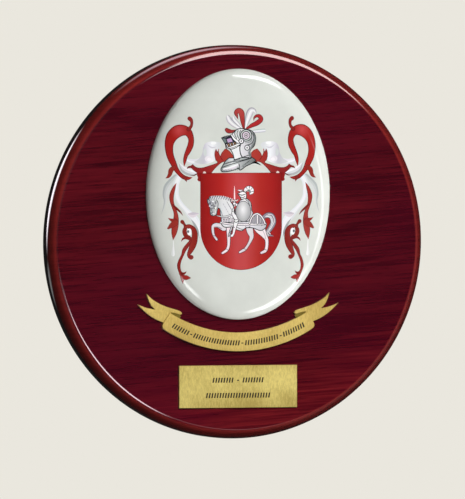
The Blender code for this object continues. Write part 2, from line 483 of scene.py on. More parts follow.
def make_board():
    bm = bmesh.new()
    loft(bm, [at_depth(ellipse(0, 0, r, r, BOARD_SIDES), BOARD_FACE_Y + depth)
              for r, depth in board_profile()])
    board = mesh_object("rosewood_board", bm)
    apply_booleans(board, keyhole_cutters(), "DIFFERENCE")
    board.data.materials.append(rosewood())
    smooth(board)
    return board


# Print on the medallion: flat shapes in their places on the plaque, one painted over another. A paint
# is a colour, or a function that gives the colour at a point.

WHITE = (217, 220, 213)
RED_DEEP = (143, 22, 21)
INK = (42, 46, 48)
SILVER = (238, 238, 238)
RIM_SHADE = 0.7
STROKE_SPACING = 0.45
STROKE_THINNEST = 0.04
ROUND_END_FROM = 0.2


def paint_at(paint, x, z):
    return paint(x, z) if callable(paint) else paint


def blend(a, b, share):
    share = min(1.0, max(0.0, share))
    return tuple(p + (q - p) * share for p, q in zip(a, b))


def across(*stops):
    """A paint that changes from left to right through (x, colour) stops."""
    def paint(x, z):
        for (x0, c0), (x1, c1) in zip(stops, stops[1:]):
            if x <= x1:
                return blend(c0, c1, (x - x0) / (x1 - x0))
        return stops[-1][1]
    return paint


def around(centre, reach, inner, outer):
    """A paint that changes outwards from a centre; reach is how far, across and up."""
    def paint(x, z):
        return blend(inner, outer, math.hypot((x - centre[0]) / reach[0], (z - centre[1]) / reach[1]))
    return paint


def darker(paint):
    return lambda x, z: tuple(value * RIM_SHADE for value in paint_at(paint, x, z))


def offsets(path):
    """Centres, sideways unit vectors and half widths along a stroke's path of (x, z, width)."""
    line = curve_through(path, STROKE_SPACING)
    centres = line[:, :2]
    half = np.maximum(line[:, 2], STROKE_THINNEST) / 2
    ahead = np.gradient(centres, axis=0)
    ahead /= np.linalg.norm(ahead, axis=1)[:, None]
    parts = [(centres, half, ahead)]
    steps = np.array([0.5, 0.85, 0.98])
    for end, sign in ((0, -1), (-1, 1)):
        if half[end] > ROUND_END_FROM:
            cap = [centres[end] + sign * np.outer(steps * half[end], ahead[end]),
                   half[end] * np.sqrt(1 - steps ** 2), np.repeat(ahead[[end]], 3, 0)]
            parts = [[values[::-1] for values in cap], *parts] if end == 0 else [*parts, cap]
    centres, half, ahead = (np.concatenate(values) for values in zip(*parts))
    return centres, np.stack([-ahead[:, 1], ahead[:, 0]], 1), half


class Drawing:
    """Painted outlines, each over the ones before it."""

    def __init__(self):
        self.shapes = []

    def fill(self, outline, paint):
        self.shapes.append((outline, paint))

    def spot(self, x, z, half_width, half_height, paint):
        self.fill(ellipse(x, z, half_width, half_height), paint)

    def shaded(self, path, *paints):
        """A brush stroke along (x, z, width) points; its paints lie side by side, left one first."""
        centres, side, half = offsets(path)
        bounds = np.linspace(1, -1, len(paints) + 1)
        for left, right, paint in zip(bounds, bounds[1:], paints):
            self.fill(np.concatenate([centres + side * (half * left)[:, None],
                                      (centres + side * (half * right)[:, None])[::-1]]), paint)

    def rimmed(self, path, paint, rim=0.3, rim_paint=None):
        """A brush stroke with a darker line along both sides."""
        self.shaded(path, rim_paint or darker(paint))
        self.shaded([(x, z, max(0.0, width - 2 * rim)) for x, z, width in path], paint)

    def inked(self, outline, paint, line):
        """A filled outline with an ink line round it."""
        outline = counterclockwise(outline)
        self.fill(inset(outline, -line / 2), INK)
        self.fill(inset(outline, line / 2), paint)

    def line(self, *points, width, colour=INK):
        self.shaded([(x, z, width) for x, z in points], colour)

    def both_sides(self, draw):
        """What draw puts on the left, and then its mirror image on the right."""
        first = len(self.shapes)
        draw(self)
        for outline, paint in self.shapes[first:]:
            self.fill(mirrored(outline), lambda x, z, paint=paint: paint_at(paint, -x, z))


def white_mantling(art):
    """The silver folds that lie behind the red ones, on the left."""
    pale = (244, 243, 246)
    grey = (180, 182, 184)
    art.shaded([(-43.5, 41, 3.4), (-48.6, 35.6, 4), (-50.4, 30.5, 3), (-50.3, 26, 1.7), (-51, 22, 1),
        (-52.8, 17.2, 0)], (216, 218, 218), (202, 206, 204), (178, 184, 184))
    art.shaded([(-40.5, 42, 3.8), (-42.9, 37.5, 4), (-43, 32, 3.4), (-42.4, 28, 3.2),
        (-40.4, 24.3, 3.2), (-37.5, 21, 3.2), (-34.5, 17.6, 4.4), (-31, 14.2, 5.2), (-28.6, 10.5, 3.6),
        (-27.6, 7, 1)], (234, 236, 240), pale, (242, 242, 244), (224, 226, 228))
    art.shaded([(-35, 17.4, 1), (-32, 17, 3.4), (-28, 17.8, 0.4)], (204, 194, 204), (226, 216, 222))
    art.shaded([(-33, 14, 0.6), (-30.6, 11.6, 2.8), (-28.4, 7.4, 3), (-27.6, 2.4, 0.4)], pale,
        (164, 168, 168))
    art.shaded([(-40.8, 49.5, 0.8), (-38.8, 46.4, 3.6), (-35.6, 44.4, 4.4), (-32, 43.4, 3.4),
        (-29.5, 43.2, 0.8)], pale, (222, 222, 226), grey)
    art.shaded([(-38, 52.8, 1), (-34.4, 51, 3.2), (-30.4, 50.4, 3.6), (-26, 51.4, 4)], (230, 228, 234),
        pale, (222, 222, 226))
    fold = closed([(-31.5, 50.4), (-28, 52.6), (-25.8, 56), (-25.2, 59.4), (-23.8, 62.2), (-20.5, 63.4),
        (-16, 63.2), (-13, 61.4)], [(-16.5, 56), (-17.2, 51.6)], [(-22, 49.4), (-27, 49.2)])
    art.fill(fold, across((-30, (212, 214, 213)), (-26.5, (203, 203, 209)), (-24.6, (203, 199, 209)),
        (-22, (230, 229, 234)), (-19, (246, 246, 249)), (-15, (220, 222, 224))))
    art.spot(-24, 56.6, 1.1, 2.4, (212, 217, 215))
    art.spot(-21.8, 52.4, 2.4, 1.8, (238, 233, 238))
    art.spot(-21.2, 52.1, 1.4, 1.1, (250, 246, 250))
    art.spot(-18.3, 62.4, 1.8, 0.9, (253, 253, 253))
    art.shaded([(-22.4, 61.4, 0.3), (-19.6, 59.6, 1), (-16.6, 60, 0.3)], (214, 212, 220))
    art.shaded([(-44.9, 0.6, 0.5), (-44.8, -3, 0.9), (-44.9, -6.4, 1.9), (-44.9, -8.2, 2.2)],
        (248, 248, 248), (232, 234, 232))


def red_mantling(art):
    """The red folds on the left: the tall loop, the leaf, the lower curl and the bar to the shield."""
    loop = around((-41, 71), (6, 7), (204, 76, 78), (166, 33, 28))
    low = across((-50, (158, 40, 32)), (-40, (170, 62, 54)), (-30, (140, 34, 28)))
    bar = across((-36, (138, 34, 34)), (-24, (150, 34, 34)), (-15, (168, 50, 44)), (-6, (182, 62, 50)))
    art.rimmed([(-37.9, 47.4, 0), (-37.4, 51.2, 2.2), (-36.7, 54.4, 2.7), (-35, 57.8, 3.7),
        (-33.5, 61.4, 4), (-33.2, 65.2, 3.9), (-34.9, 69, 5.2), (-38, 70.5, 6.8), (-41.9, 70, 7.8),
        (-45.4, 67, 7.2), (-47.3, 62.6, 5.8), (-47.5, 58, 5), (-46.6, 53.6, 4.6), (-44.9, 49.8, 4.1),
        (-43.3, 46.4, 3.4), (-41.2, 43.5, 2.8), (-38.3, 41, 2.8), (-35.2, 40.2, 2.2), (-32.2, 40.8, 0)],
        loop, 0.55, (110, 18, 18))
    art.rimmed([(-34.9, 71.2, 2.6), (-33.2, 73, 2), (-32.7, 75.2, 1.9), (-33.1, 77, 2.4),
        (-34.1, 78, 2.8)], (146, 34, 30), 0.4)
    art.rimmed([(-44.4, 47.2, 2.6), (-46.4, 45.4, 3.2), (-47.2, 42.8, 2.6), (-48.4, 41.2, 1.8),
        (-50.2, 40.2, 0)], (148, 44, 34), 0.2)
    art.rimmed([(-37.8, 41, 2.2), (-36.7, 39.4, 1.6), (-36.2, 37.8, 0)], (140, 38, 34), 0.2)
    art.rimmed([(-42.9, 37.4, 0), (-44.6, 33.9, 2.1), (-46, 29.6, 3), (-46, 25.9, 2.7),
        (-44.9, 22, 2.2), (-43.5, 18.2, 2.6), (-43.2, 13.9, 3.7), (-43.8, 9.6, 4.4), (-44.5, 5.2, 3.4),
        (-45.1, 1, 0)], low, 0.4)
    art.rimmed([(-45.2, 23.4, 1), (-42.9, 21.1, 1.5), (-40.3, 18.8, 1.1), (-38.5, 16.3, 0)],
        (128, 34, 30), 0.2)
    art.rimmed([(-43.6, 13.2, 3.2), (-46.2, 13.8, 1.9), (-48.5, 15.2, 0)], (150, 44, 38), 0.2)
    art.rimmed([(-43.6, 12, 4), (-46, 10.4, 3.4), (-48.2, 8.6, 1.4)], (156, 48, 40), 0.2)
    art.rimmed([(-39.1, 12.6, 2.6), (-37.7, 11, 1.6), (-37, 9.2, 2.2), (-37.6, 6.6, 2.9),
        (-36.7, 4.1, 3), (-34.4, 2.4, 2.6)], (140, 38, 30), 0.2)
    art.rimmed([(-37.2, 9.2, 1.6), (-34.9, 9.7, 2.8), (-32, 8, 3.4), (-30.8, 4.9, 3.8), (-31.2, 1, 4.5),
        (-32.1, -2.4, 4.4), (-33.6, -5.7, 3.4), (-34.8, -8.2, 2.3), (-34.4, -9.8, 1.8)], low, 0.4)
    art.spot(-33.2, -9.9, 1.7, 1.5, (140, 38, 34))
    art.rimmed([(-33.6, 0.6, 1.4), (-35.6, -2.3, 2.4), (-37.7, -5.3, 2.6), (-38.9, -8.6, 1.8),
        (-40.5, -12.2, 2), (-41.1, -15.6, 2.2), (-40.3, -18.8, 1.8), (-38.7, -21.6, 3),
        (-38.2, -24.4, 2), (-38, -26.8, 0)], (148, 40, 36), 0.3)
    art.shaded([(-38.9, -20.3, 1.6), (-37.3, -20, 1.3), (-36, -18.7, 0)], (124, 32, 30))
    art.rimmed([(-38.4, -22.2, 2.2), (-36, -22.8, 3), (-33.8, -23, 1)], (168, 48, 44), 0.3)
    art.shaded([(-39.7, 0.1, 0.2), (-38.6, 1.8, 1.2), (-36.7, 2.4, 1.5), (-34.2, 1.8, 2)],
        (134, 36, 32))
    art.spot(-34.4, 6.2, 1.5, 2.2, (250, 250, 252))
    art.spot(-35.2, 6.4, 0.7, 0.9, (96, 96, 104))
    art.shaded([(-34, 41.9, 0), (-31.6, 41.9, 0.6), (-29.6, 42.8, 0.8), (-28.4, 43.4, 1.2)],
        (96, 30, 32))
    crown = closed([(-36.2, 46.1), (-35.3, 47.7), (-33.6, 48.2)], [(-32, 49.2), (-30.6, 47.7),
        (-28.2, 46.9), (-25.1, 47.1), (-21.3, 48.2), (-16, 50)], [(-17, 51.4), (-17.7, 54.2),
        (-17.6, 56.8)], [(-16.7, 58.9), (-16.1, 57.6)], [(-15.7, 57), (-15.2, 57.9)],
        [(-14.8, 59.1), (-14.8, 56.4)], [(-13.9, 54.2), (-12.9, 56.4)],
        [(-10.7, 58.9), (-8.2, 57.8), (-6.2, 55.6), (-5, 53.4), (-6, 50), (-12.1, 50.3), (-16.7, 46.9)],
        [(-19.8, 43.3), (-28, 43.2), (-30.4, 44.2), (-32, 45.5), (-33.6, 46.8)])
    art.fill(crown, darker(bar))
    art.fill(inset(counterclockwise(crown), 0.42), bar)
    art.shaded([(-13.9, 54.4, 0), (-13.2, 52.6, 0.5), (-11.8, 51.2, 0.2)], (120, 30, 28))


def shield_outline(top, half_width, straight_to):
    turns = np.linspace(math.pi, 2 * math.pi, 64)
    round_foot = [(half_width * math.cos(t), straight_to + half_width * math.sin(t)) for t in turns]
    sides = curve_through([(half_width, straight_to), (half_width, top)])[1:]
    head = curve_through([(half_width, top), (-half_width, top)], 1.2)[1:]
    down = curve_through([(-half_width, top), (-half_width, straight_to)])[1:-1]
    return np.concatenate([round_foot, sides, head, down])


def shield(art):
    top = 43.5
    half_width = 27.2
    straight_to = 9
    red = across((-27.2, RED_DEEP), (-24, (154, 22, 21)), (-13, (181, 36, 33)), (-3, (199, 70, 72)),
        (3, (199, 70, 71)), (13, (180, 38, 32)), (22, (166, 24, 23)), (27.2, RED_DEEP))
    flap = closed([(-29.4, 43.6)], [(-29.3, 41.8), (-28.8, 40.6)], [(-29.2, 39.2), (-28.2, 38.2)],
        [(-26.8, 38.2)], [(-26.8, 43.6)])
    art.both_sides(lambda art: art.fill(flap, RED_DEEP))
    art.fill(shield_outline(top, half_width, straight_to), (116, 20, 20))
    art.fill(shield_outline(top - 0.35, half_width - 0.35, straight_to), red)
    art.both_sides(lambda art: art.shaded([(-25.4, 43.5, 0.4), (-24.4, 43.9, 1.3), (-23.4, 43.5, 0.4)],
        (232, 214, 206)))


def plumes(art):
    red = around((-0.4, 83), (8, 12), (186, 72, 66), (158, 36, 36))
    pearl = [(162, 160, 170), (222, 220, 224), (246, 246, 246), (234, 230, 234), (188, 184, 192)]
    art.shaded([(8, 69.8, 1.6), (11.5, 70, 2.2), (15.4, 70.3, 2.2)], (176, 190, 184), (236, 238, 240),
        (240, 240, 244), (190, 188, 200))
    art.shaded([(2.7, 71, 1), (3.8, 75.6, 3), (5.2, 79.8, 4.6), (6.8, 82.8, 4.4), (8.8, 82.8, 2.6),
        (9.7, 81.2, 1)], *pearl)
    art.shaded([(0.6, 71.6, 1.4), (-2.6, 74.9, 2.6), (-4.6, 77, 2.7), (-5.2, 78.4, 2.2)], *pearl)
    art.shaded([(0, 71.2, 1.4), (-4.2, 73.6, 3), (-7.4, 76.4, 3.6), (-8.6, 78.6, 3)], *pearl[::-1])
    art.rimmed([(-3.2, 70.8, 0.4), (-6, 69.8, 2), (-8.4, 70, 3), (-9.6, 70.8, 2.6)], (168, 50, 48),
        0.42, (96, 26, 28))
    art.rimmed([(-1.8, 77, 0), (-2.7, 79.4, 1.6), (-3.3, 81.6, 3), (-1.6, 82.9, 3.6), (0.2, 81.6, 4),
        (0.8, 78.4, 3.4), (1.2, 75.2, 2.7), (2, 71.2, 1.2)], red, 0.42, (96, 26, 28))
    art.rimmed([(3.6, 71.4, 1.4), (7, 73.4, 2.6), (10.6, 75, 3.2), (13.2, 77.2, 3.2), (12.4, 79.2, 2.8),
        (10.4, 79.5, 2), (8.8, 78.3, 1.3), (8.4, 76.2, 0)], (176, 38, 40), 0.42, (96, 24, 30))


def helmet(art):
    steel = across((-12, (226, 228, 230)), (-2, (242, 242, 244)), (4, (214, 210, 216)),
        (9.5, (128, 134, 132)))
    collar_steel = across((-13, (140, 146, 146)), (-6, (224, 226, 226)), (2, (168, 172, 172)),
        (9, (118, 122, 120)))
    collar = closed([(-8.3, 52.9), (-4.6, 53), (0.2, 53.4), (6.9, 53.2)],
        [(9.8, 51.3), (6.6, 49.2), (3.2, 47.7)], [(0.9, 46), (-0.9, 45.2)],
        [(-2, 46.6), (-3.6, 45.6), (-7.1, 44.7), (-10.6, 44.2), (-12.9, 44.4), (-13.5, 45.9),
        (-12.2, 48.3), (-10.4, 51)])
    shell = closed([(-4.6, 51.6), (-5.4, 55.2), (-6.6, 57.6)], [(-7.6, 58.8), (-9.9, 59.2)],
        [(-10.4, 61.4), (-11.6, 63.6)], [(-13, 65.7), (-10.2, 66.7)], [(-6.5, 67.2), (-5.2, 69),
        (-3.4, 70.6), (-0.8, 71.5), (3.2, 71.2), (6.6, 70.2), (8.9, 68.2), (9.7, 65.4), (9.3, 62.4),
        (8.4, 60.2)], [(6.6, 58.6), (5.6, 56), (6.6, 53.2), (1, 53.2)])
    dark = (62, 66, 70)
    middle = (126, 132, 132)
    art.shaded([(6.2, 49, 0.3), (8.9, 50, 1.2), (11.2, 49.3, 1), (13.6, 47.9, 0)], (24, 20, 20))
    art.inked(collar, collar_steel, 0.6)
    art.shaded([(-11.6, 45.9, 1), (-8, 46.3, 2), (-4.6, 47.4, 2), (-2.2, 48.6, 1)], (252, 252, 252),
        (236, 226, 236))
    for width, *points in (
            (0.5, (-12.6, 47), (-8.4, 48.4), (-3.6, 49.8), (1.4, 51.2), (6.6, 52.6)),
            (0.4, (-11.6, 49), (-7, 50.2), (-2, 51), (3, 52), (6, 53)),
            (0.5, (-1.4, 45.6), (-1, 47.4), (-1.6, 49.2)),
            (0.35, (1.2, 47.2), (2.6, 49), (5.6, 51.2))):
        art.line(*points, width=width)
    for i in range(9):
        art.line((-10.2 + 1.05 * i, 49.2 + 0.3 * i), (-9.2 + 1.05 * i, 50.2 + 0.3 * i), width=0.34,
            colour=dark)
        art.line((-11.2 + 1.05 * i, 44.8 + 0.02 * i), (-10.4 + 1.05 * i, 45.7 + 0.05 * i), width=0.3,
            colour=middle)
    for i in range(7):
        art.line((0.4 + 1.1 * i, 47.2 + 0.55 * i), (1.6 + 1.1 * i, 48.9 + 0.5 * i), width=0.34,
            colour=middle)
    art.inked(shell, steel, 0.6)
    art.shaded([(5.4, 69.4, 0.6), (8.2, 67.2, 2), (8.4, 63.6, 2.4), (6.6, 60, 2.2), (5.2, 56.6, 1.6),
        (5.8, 53.4, 0.8)], (104, 112, 110), (150, 154, 154), (196, 194, 200))
    art.fill(polygon((-12.9, 65.7), (-5.8, 67.2), (-3.8, 63.2), (-10.6, 61.4)), (40, 42, 52))
    art.fill(polygon((-9.6, 64.8), (-6.8, 65.6), (-5.6, 63.4), (-8.8, 62.6)), (200, 168, 208))
    art.fill(polygon((-12.4, 65.3), (-10.4, 65.2), (-9.6, 62.9), (-10.8, 62.3)), (112, 128, 124))
    art.fill(polygon((-10.6, 61.7), (-3.6, 63.4), (-2.4, 61), (-9.4, 59.2)), (48, 44, 46))
    for i, colour in enumerate([(230, 226, 222), (196, 142, 84)] * 3):
        art.shaded([(-9.7 + 1.08 * i, 61.7 + 0.24 * i, 0.36), (-8.7 + i, 59.7 + 0.26 * i, 0.36)],
            colour)
    art.rimmed([(-9.6, 59, 1), (-5.4, 60.2, 1.6), (-0.8, 62, 1.6)], SILVER, 0.36, INK)
    art.rimmed([(-6.4, 67.5, 1.4), (-4.4, 64.8, 1.8), (-1.6, 62.8, 1.9)], (248, 248, 248), 0.36, INK)
    for x, lean in ((-4.6, 1.5), (-3, 1.4), (-1.4, 1.2)):
        art.line((x + 1, 70.5), (x + 0.2, 68.2), (x + lean, 65.2), width=0.45)
        art.line((x + 1.6, 70.4), (x + 0.8, 68.2), (x + lean + 0.6, 65.4), width=0.4,
            colour=(176, 188, 184))
    hub = ((4.1, INK), (3.5, (214, 220, 218)), (2.9, dark), (2.3, (232, 212, 228)), (1.6, middle),
           (1.1, (218, 200, 212)), (0.5, INK))
    for radius, colour in hub:
        art.spot(3.3, 67.2, radius, radius * 0.96, colour)
    for x, z, colours in (
            (0.1, 63.6, ((1.9, INK), (1.3, (246, 242, 246)), (0.5, INK))),
            (4, 59.4, ((1.9, dark), (1.35, (240, 238, 240)), (0.6, middle)))):
        for radius, colour in colours:
            art.spot(x, z, radius, radius, colour)
    for width, *points in (
            (0.5, (8.2, 67.6), (8.4, 64.8), (6.8, 62), (3.6, 61)),
            (0.7, (-0.2, 62), (-0.9, 59.4), (-0.5, 55.8), (0.6, 53.4)),
            (0.5, (-4.4, 51.9), (-1.6, 52.5), (2.6, 53.9), (5.8, 54.8)),
            (0.45, (-7.4, 58.2), (-4, 59.2), (-0.8, 61))):
        art.line(*points, width=width)
    art.line((7.2, 66.6), (7, 64.4), (5.4, 62.9), (2.4, 62.4), width=0.35, colour=(112, 128, 120))
    for i in range(5):
        art.line((4.6 + 0.5 * i, 57 - 0.1 * i), (5.4 + 0.3 * i, 53.8), width=0.28, colour=middle)


def horse_legs(art):
    rim = (72, 30, 44)
    far = [
        [(-11.6, 8.8, 4.4), (-14.6, 10, 3.2), (-17.2, 10.5, 2.4), (-18.8, 9.4, 2), (-18.7, 5.8, 1.7),
         (-17.8, 3.4, 1.5), (-16.3, 1.3, 1.6)],
        [(5.4, 8.6, 4.6), (6, 6, 4.2), (6.9, 2.8, 2.8), (5.4, -1, 1.8), (3, -4.6, 1.7), (1, -5.9, 1.8),
         (-0.9, -6.9, 1.4)]]
    near = [
        [(-7.6, 10.4, 4.6), (-8.1, 6.6, 3.4), (-8.3, 3.2, 2.4), (-8.3, -0.2, 2), (-8.5, -3, 1.9),
         (-9.6, -5.5, 1.9), (-12.4, -7.4, 1.5)],
        [(12, 9.6, 8.2), (13, 7.4, 6.6), (15.4, 3.7, 3.6), (17, 0.9, 2.4), (17.1, -2.9, 2.1),
         (16.2, -6, 2.1), (13.5, -7.4, 1.6)]]
    for legs, paint in ((far, (226, 218, 222)), (near, (246, 230, 234))):
        for leg in legs:
            art.rimmed([(x, z, w + 0.5) for x, z, w in leg], paint, 0.42, rim)
    for x, z in ((-9.4, -5), (2.4, -4.9), (16.4, -5.4), (-17.6, 3.6)):
        art.line((x - 0.8, z + 0.3), (x + 0.7, z - 0.3), width=0.35, colour=(104, 84, 92))
    art.line((12.4, 9), (15.2, 5.4), (16.4, 1.6), width=0.5, colour=(196, 188, 194))
    art.line((-13, 8.2), (-15.6, 9.2), (-17.6, 9.2), width=0.5, colour=(150, 140, 148))


def horse(art):
    """A silver horse that walks to the left with a raised foreleg, in a light harness."""
    coat = across((-22, (168, 166, 176)), (-17.5, (194, 196, 196)), (-13, (226, 226, 228)),
        (-4, (240, 238, 240)), (6, (226, 222, 228)), (16, (202, 200, 206)))
    line = (64, 64, 72)
    tail = [(14.2, 14.6, 2.4), (17.2, 16.4, 3.6), (20.2, 15.8, 4.2), (21.4, 12.2, 4.2),
        (19.6, 8.4, 3.8), (17.6, 5.6, 3.2), (18.8, 3.9, 2), (21.9, 3.2, 0)]
    head_and_neck = closed([(-22.3, 24.6), (-22.5, 26.9)], [(-21.4, 26.6), (-21, 28.5)], [(-20, 27.6)],
        [(-18.6, 28.5), (-14.2, 28.6), (-10.2, 27.7), (-7, 25.2), (-5, 21.6), (-4.2, 17), (-5, 12.6),
        (-12.6, 12.4), (-13.4, 15.4)], [(-14, 18), (-14.2, 20.6)], [(-15.4, 21.2), (-16, 19.4),
        (-16.6, 17)], [(-18.4, 16.2), (-20.2, 16.9), (-20.7, 18.6), (-20.7, 20.8), (-21.4, 23)])
    barrel = closed([(-13.2, 13.4), (-13, 10.8), (-10.6, 9), (-5, 9.2), (-3.4, 7.6), (0.4, 6.7),
        (3.4, 8.6), (8, 8.4), (13, 6.8), (16.6, 9), (16.2, 12.4), (13.6, 15.6), (10.2, 17), (6.8, 14.8),
        (4, 12.6), (-6, 13.2)])
    art.rimmed(tail, (150, 142, 152), 0.4, (78, 44, 56))
    strands = ((-1.5, (238, 232, 236)), (-0.5, (226, 220, 226)), (0.4, (112, 110, 116)),
               (1.2, (232, 226, 230)))
    for shift, colour in strands:
        strand = [(x + shift * 0.6, z + shift * 0.5, 0.5) for x, z, _ in tail[1:-1]]
        art.shaded(strand, colour)
    horse_legs(art)
    art.inked(barrel, coat, 0.55)
    art.inked(head_and_neck, coat, 0.55)
    for i in range(13):
        x = -20 + 1.15 * i
        z = 28.3 - 0.014 * (i - 4) ** 2 - 0.2 * max(0, i - 7)
        art.line((x - 0.5, z + 0.6), (x + 0.3, z - 1.4), width=0.42, colour=(92, 92, 100))
        art.line((x, z + 0.8), (x + 0.8, z - 1.6), width=0.4, colour=(250, 248, 250))
    for i in range(5):
        art.line((-9.6 + 0.9 * i, 25.4 - 1.5 * i), (-8.6 + 0.9 * i, 23.6 - 1.5 * i), width=0.36,
            colour=(128, 128, 134))
        art.line((-12 + 0.9 * i, 24 - 1.5 * i), (-11.4 + 0.9 * i, 22.8 - 1.5 * i), width=0.3,
            colour=(176, 174, 180))
    for width, colour, *points in (
            (0.45, line, (-16.4, 26.4), (-15.4, 24.2), (-15.6, 21.4)),
            (0.4, line, (-20.8, 20.8), (-18.6, 21.2), (-16.2, 20.6)),
            (0.4, (112, 112, 116), (-20, 25.4), (-18.4, 23.6), (-18.2, 21.2)),
            (0.35, line, (-21.6, 26.6), (-20.6, 25.2), (-21.4, 24)),
            (0.6, line, (-19.8, 22.8), (-18.9, 23.2)),
            (0.5, line, (-20.2, 18.2), (-19.7, 17.8)),
            (0.35, line, (-19.2, 16.9), (-17.6, 18)),
            (0.5, (232, 236, 226), (-17.4, 19.6), (-16.8, 18)),
            (0.5, (140, 138, 146), (-13.6, 19.6), (-12.8, 17.4), (-12.4, 15.8)),
            (0.4, line, (-13, 14.6), (-10.4, 13.6), (-7, 14.8)),
            (0.4, line, (-3.4, 9.4), (-0.6, 7.9), (2.2, 7.5)),
            (0.4, line, (3, 9.6), (3.4, 8.4), (6, 9.4)),
            (0.35, (128, 124, 132), (13.4, 9.6), (15.4, 11.4), (15.8, 13.6))):
        art.line(*points, width=width, colour=colour)
    for x, z, rx, rz, colour in (
            (-20.7, 24.2, 0.6, 0.9, (112, 116, 124)),
            (-19.7, 20.2, 0.5, 1, (124, 126, 130)), (-18, 22.4, 0.9, 0.6, (128, 128, 134)),
            (-17, 24.6, 0.6, 1.1, (136, 136, 142)), (-19.2, 18.6, 0.6, 0.5, (116, 116, 122)),
            (-18.8, 25.4, 0.8, 0.6, (240, 242, 242)), (-17, 21.2, 0.5, 0.8, (244, 246, 236)),
            (-18.2, 17.6, 0.6, 0.5, (236, 236, 238)), (-21, 22.6, 0.4, 0.7, (224, 224, 232))):
        art.spot(x, z, rx, rz, colour)
    art.rimmed([(-16.2, 16.4, 0.8), (-11.4, 15.6, 1.2), (-6.8, 16.8, 1.2), (-4.2, 18, 1)],
        (246, 244, 246), 0.34, line)
    art.rimmed([(-13.6, 12, 1.4), (-6, 10.9, 1.5), (4, 10.8, 1.5), (16.4, 11, 1.6)], (248, 240, 242),
        0.36, line)
    for i in range(5):
        art.rimmed([(-12.2 + 1.7 * i, 15 - 0.1 * i, 1.1), (-12.6 + 1.8 * i, 12.6, 1.3)],
            (242, 230, 238), 0.3, (84, 78, 88))
    hoop = [(5.6, 11.2, 1.4), (6.6, 14.4, 1.4), (8.6, 16.8, 1.4), (10.8, 17.4, 1.4), (13.2, 16, 1.4),
        (15, 13.4, 1.4), (16, 11, 1.4)]
    art.fill(closed([(x, z) for x, z, _ in hoop]), (160, 154, 164))
    for x, foot, top, width in ((10.8, 11.4, 17, 1.5), (8.5, 11.6, 15.6, 1), (13.1, 11.6, 15.2, 1)):
        art.rimmed([(x, top, width), (x, foot, width)], (244, 240, 242), 0.32, line)
    art.rimmed(hoop, (250, 244, 246), 0.36, line)


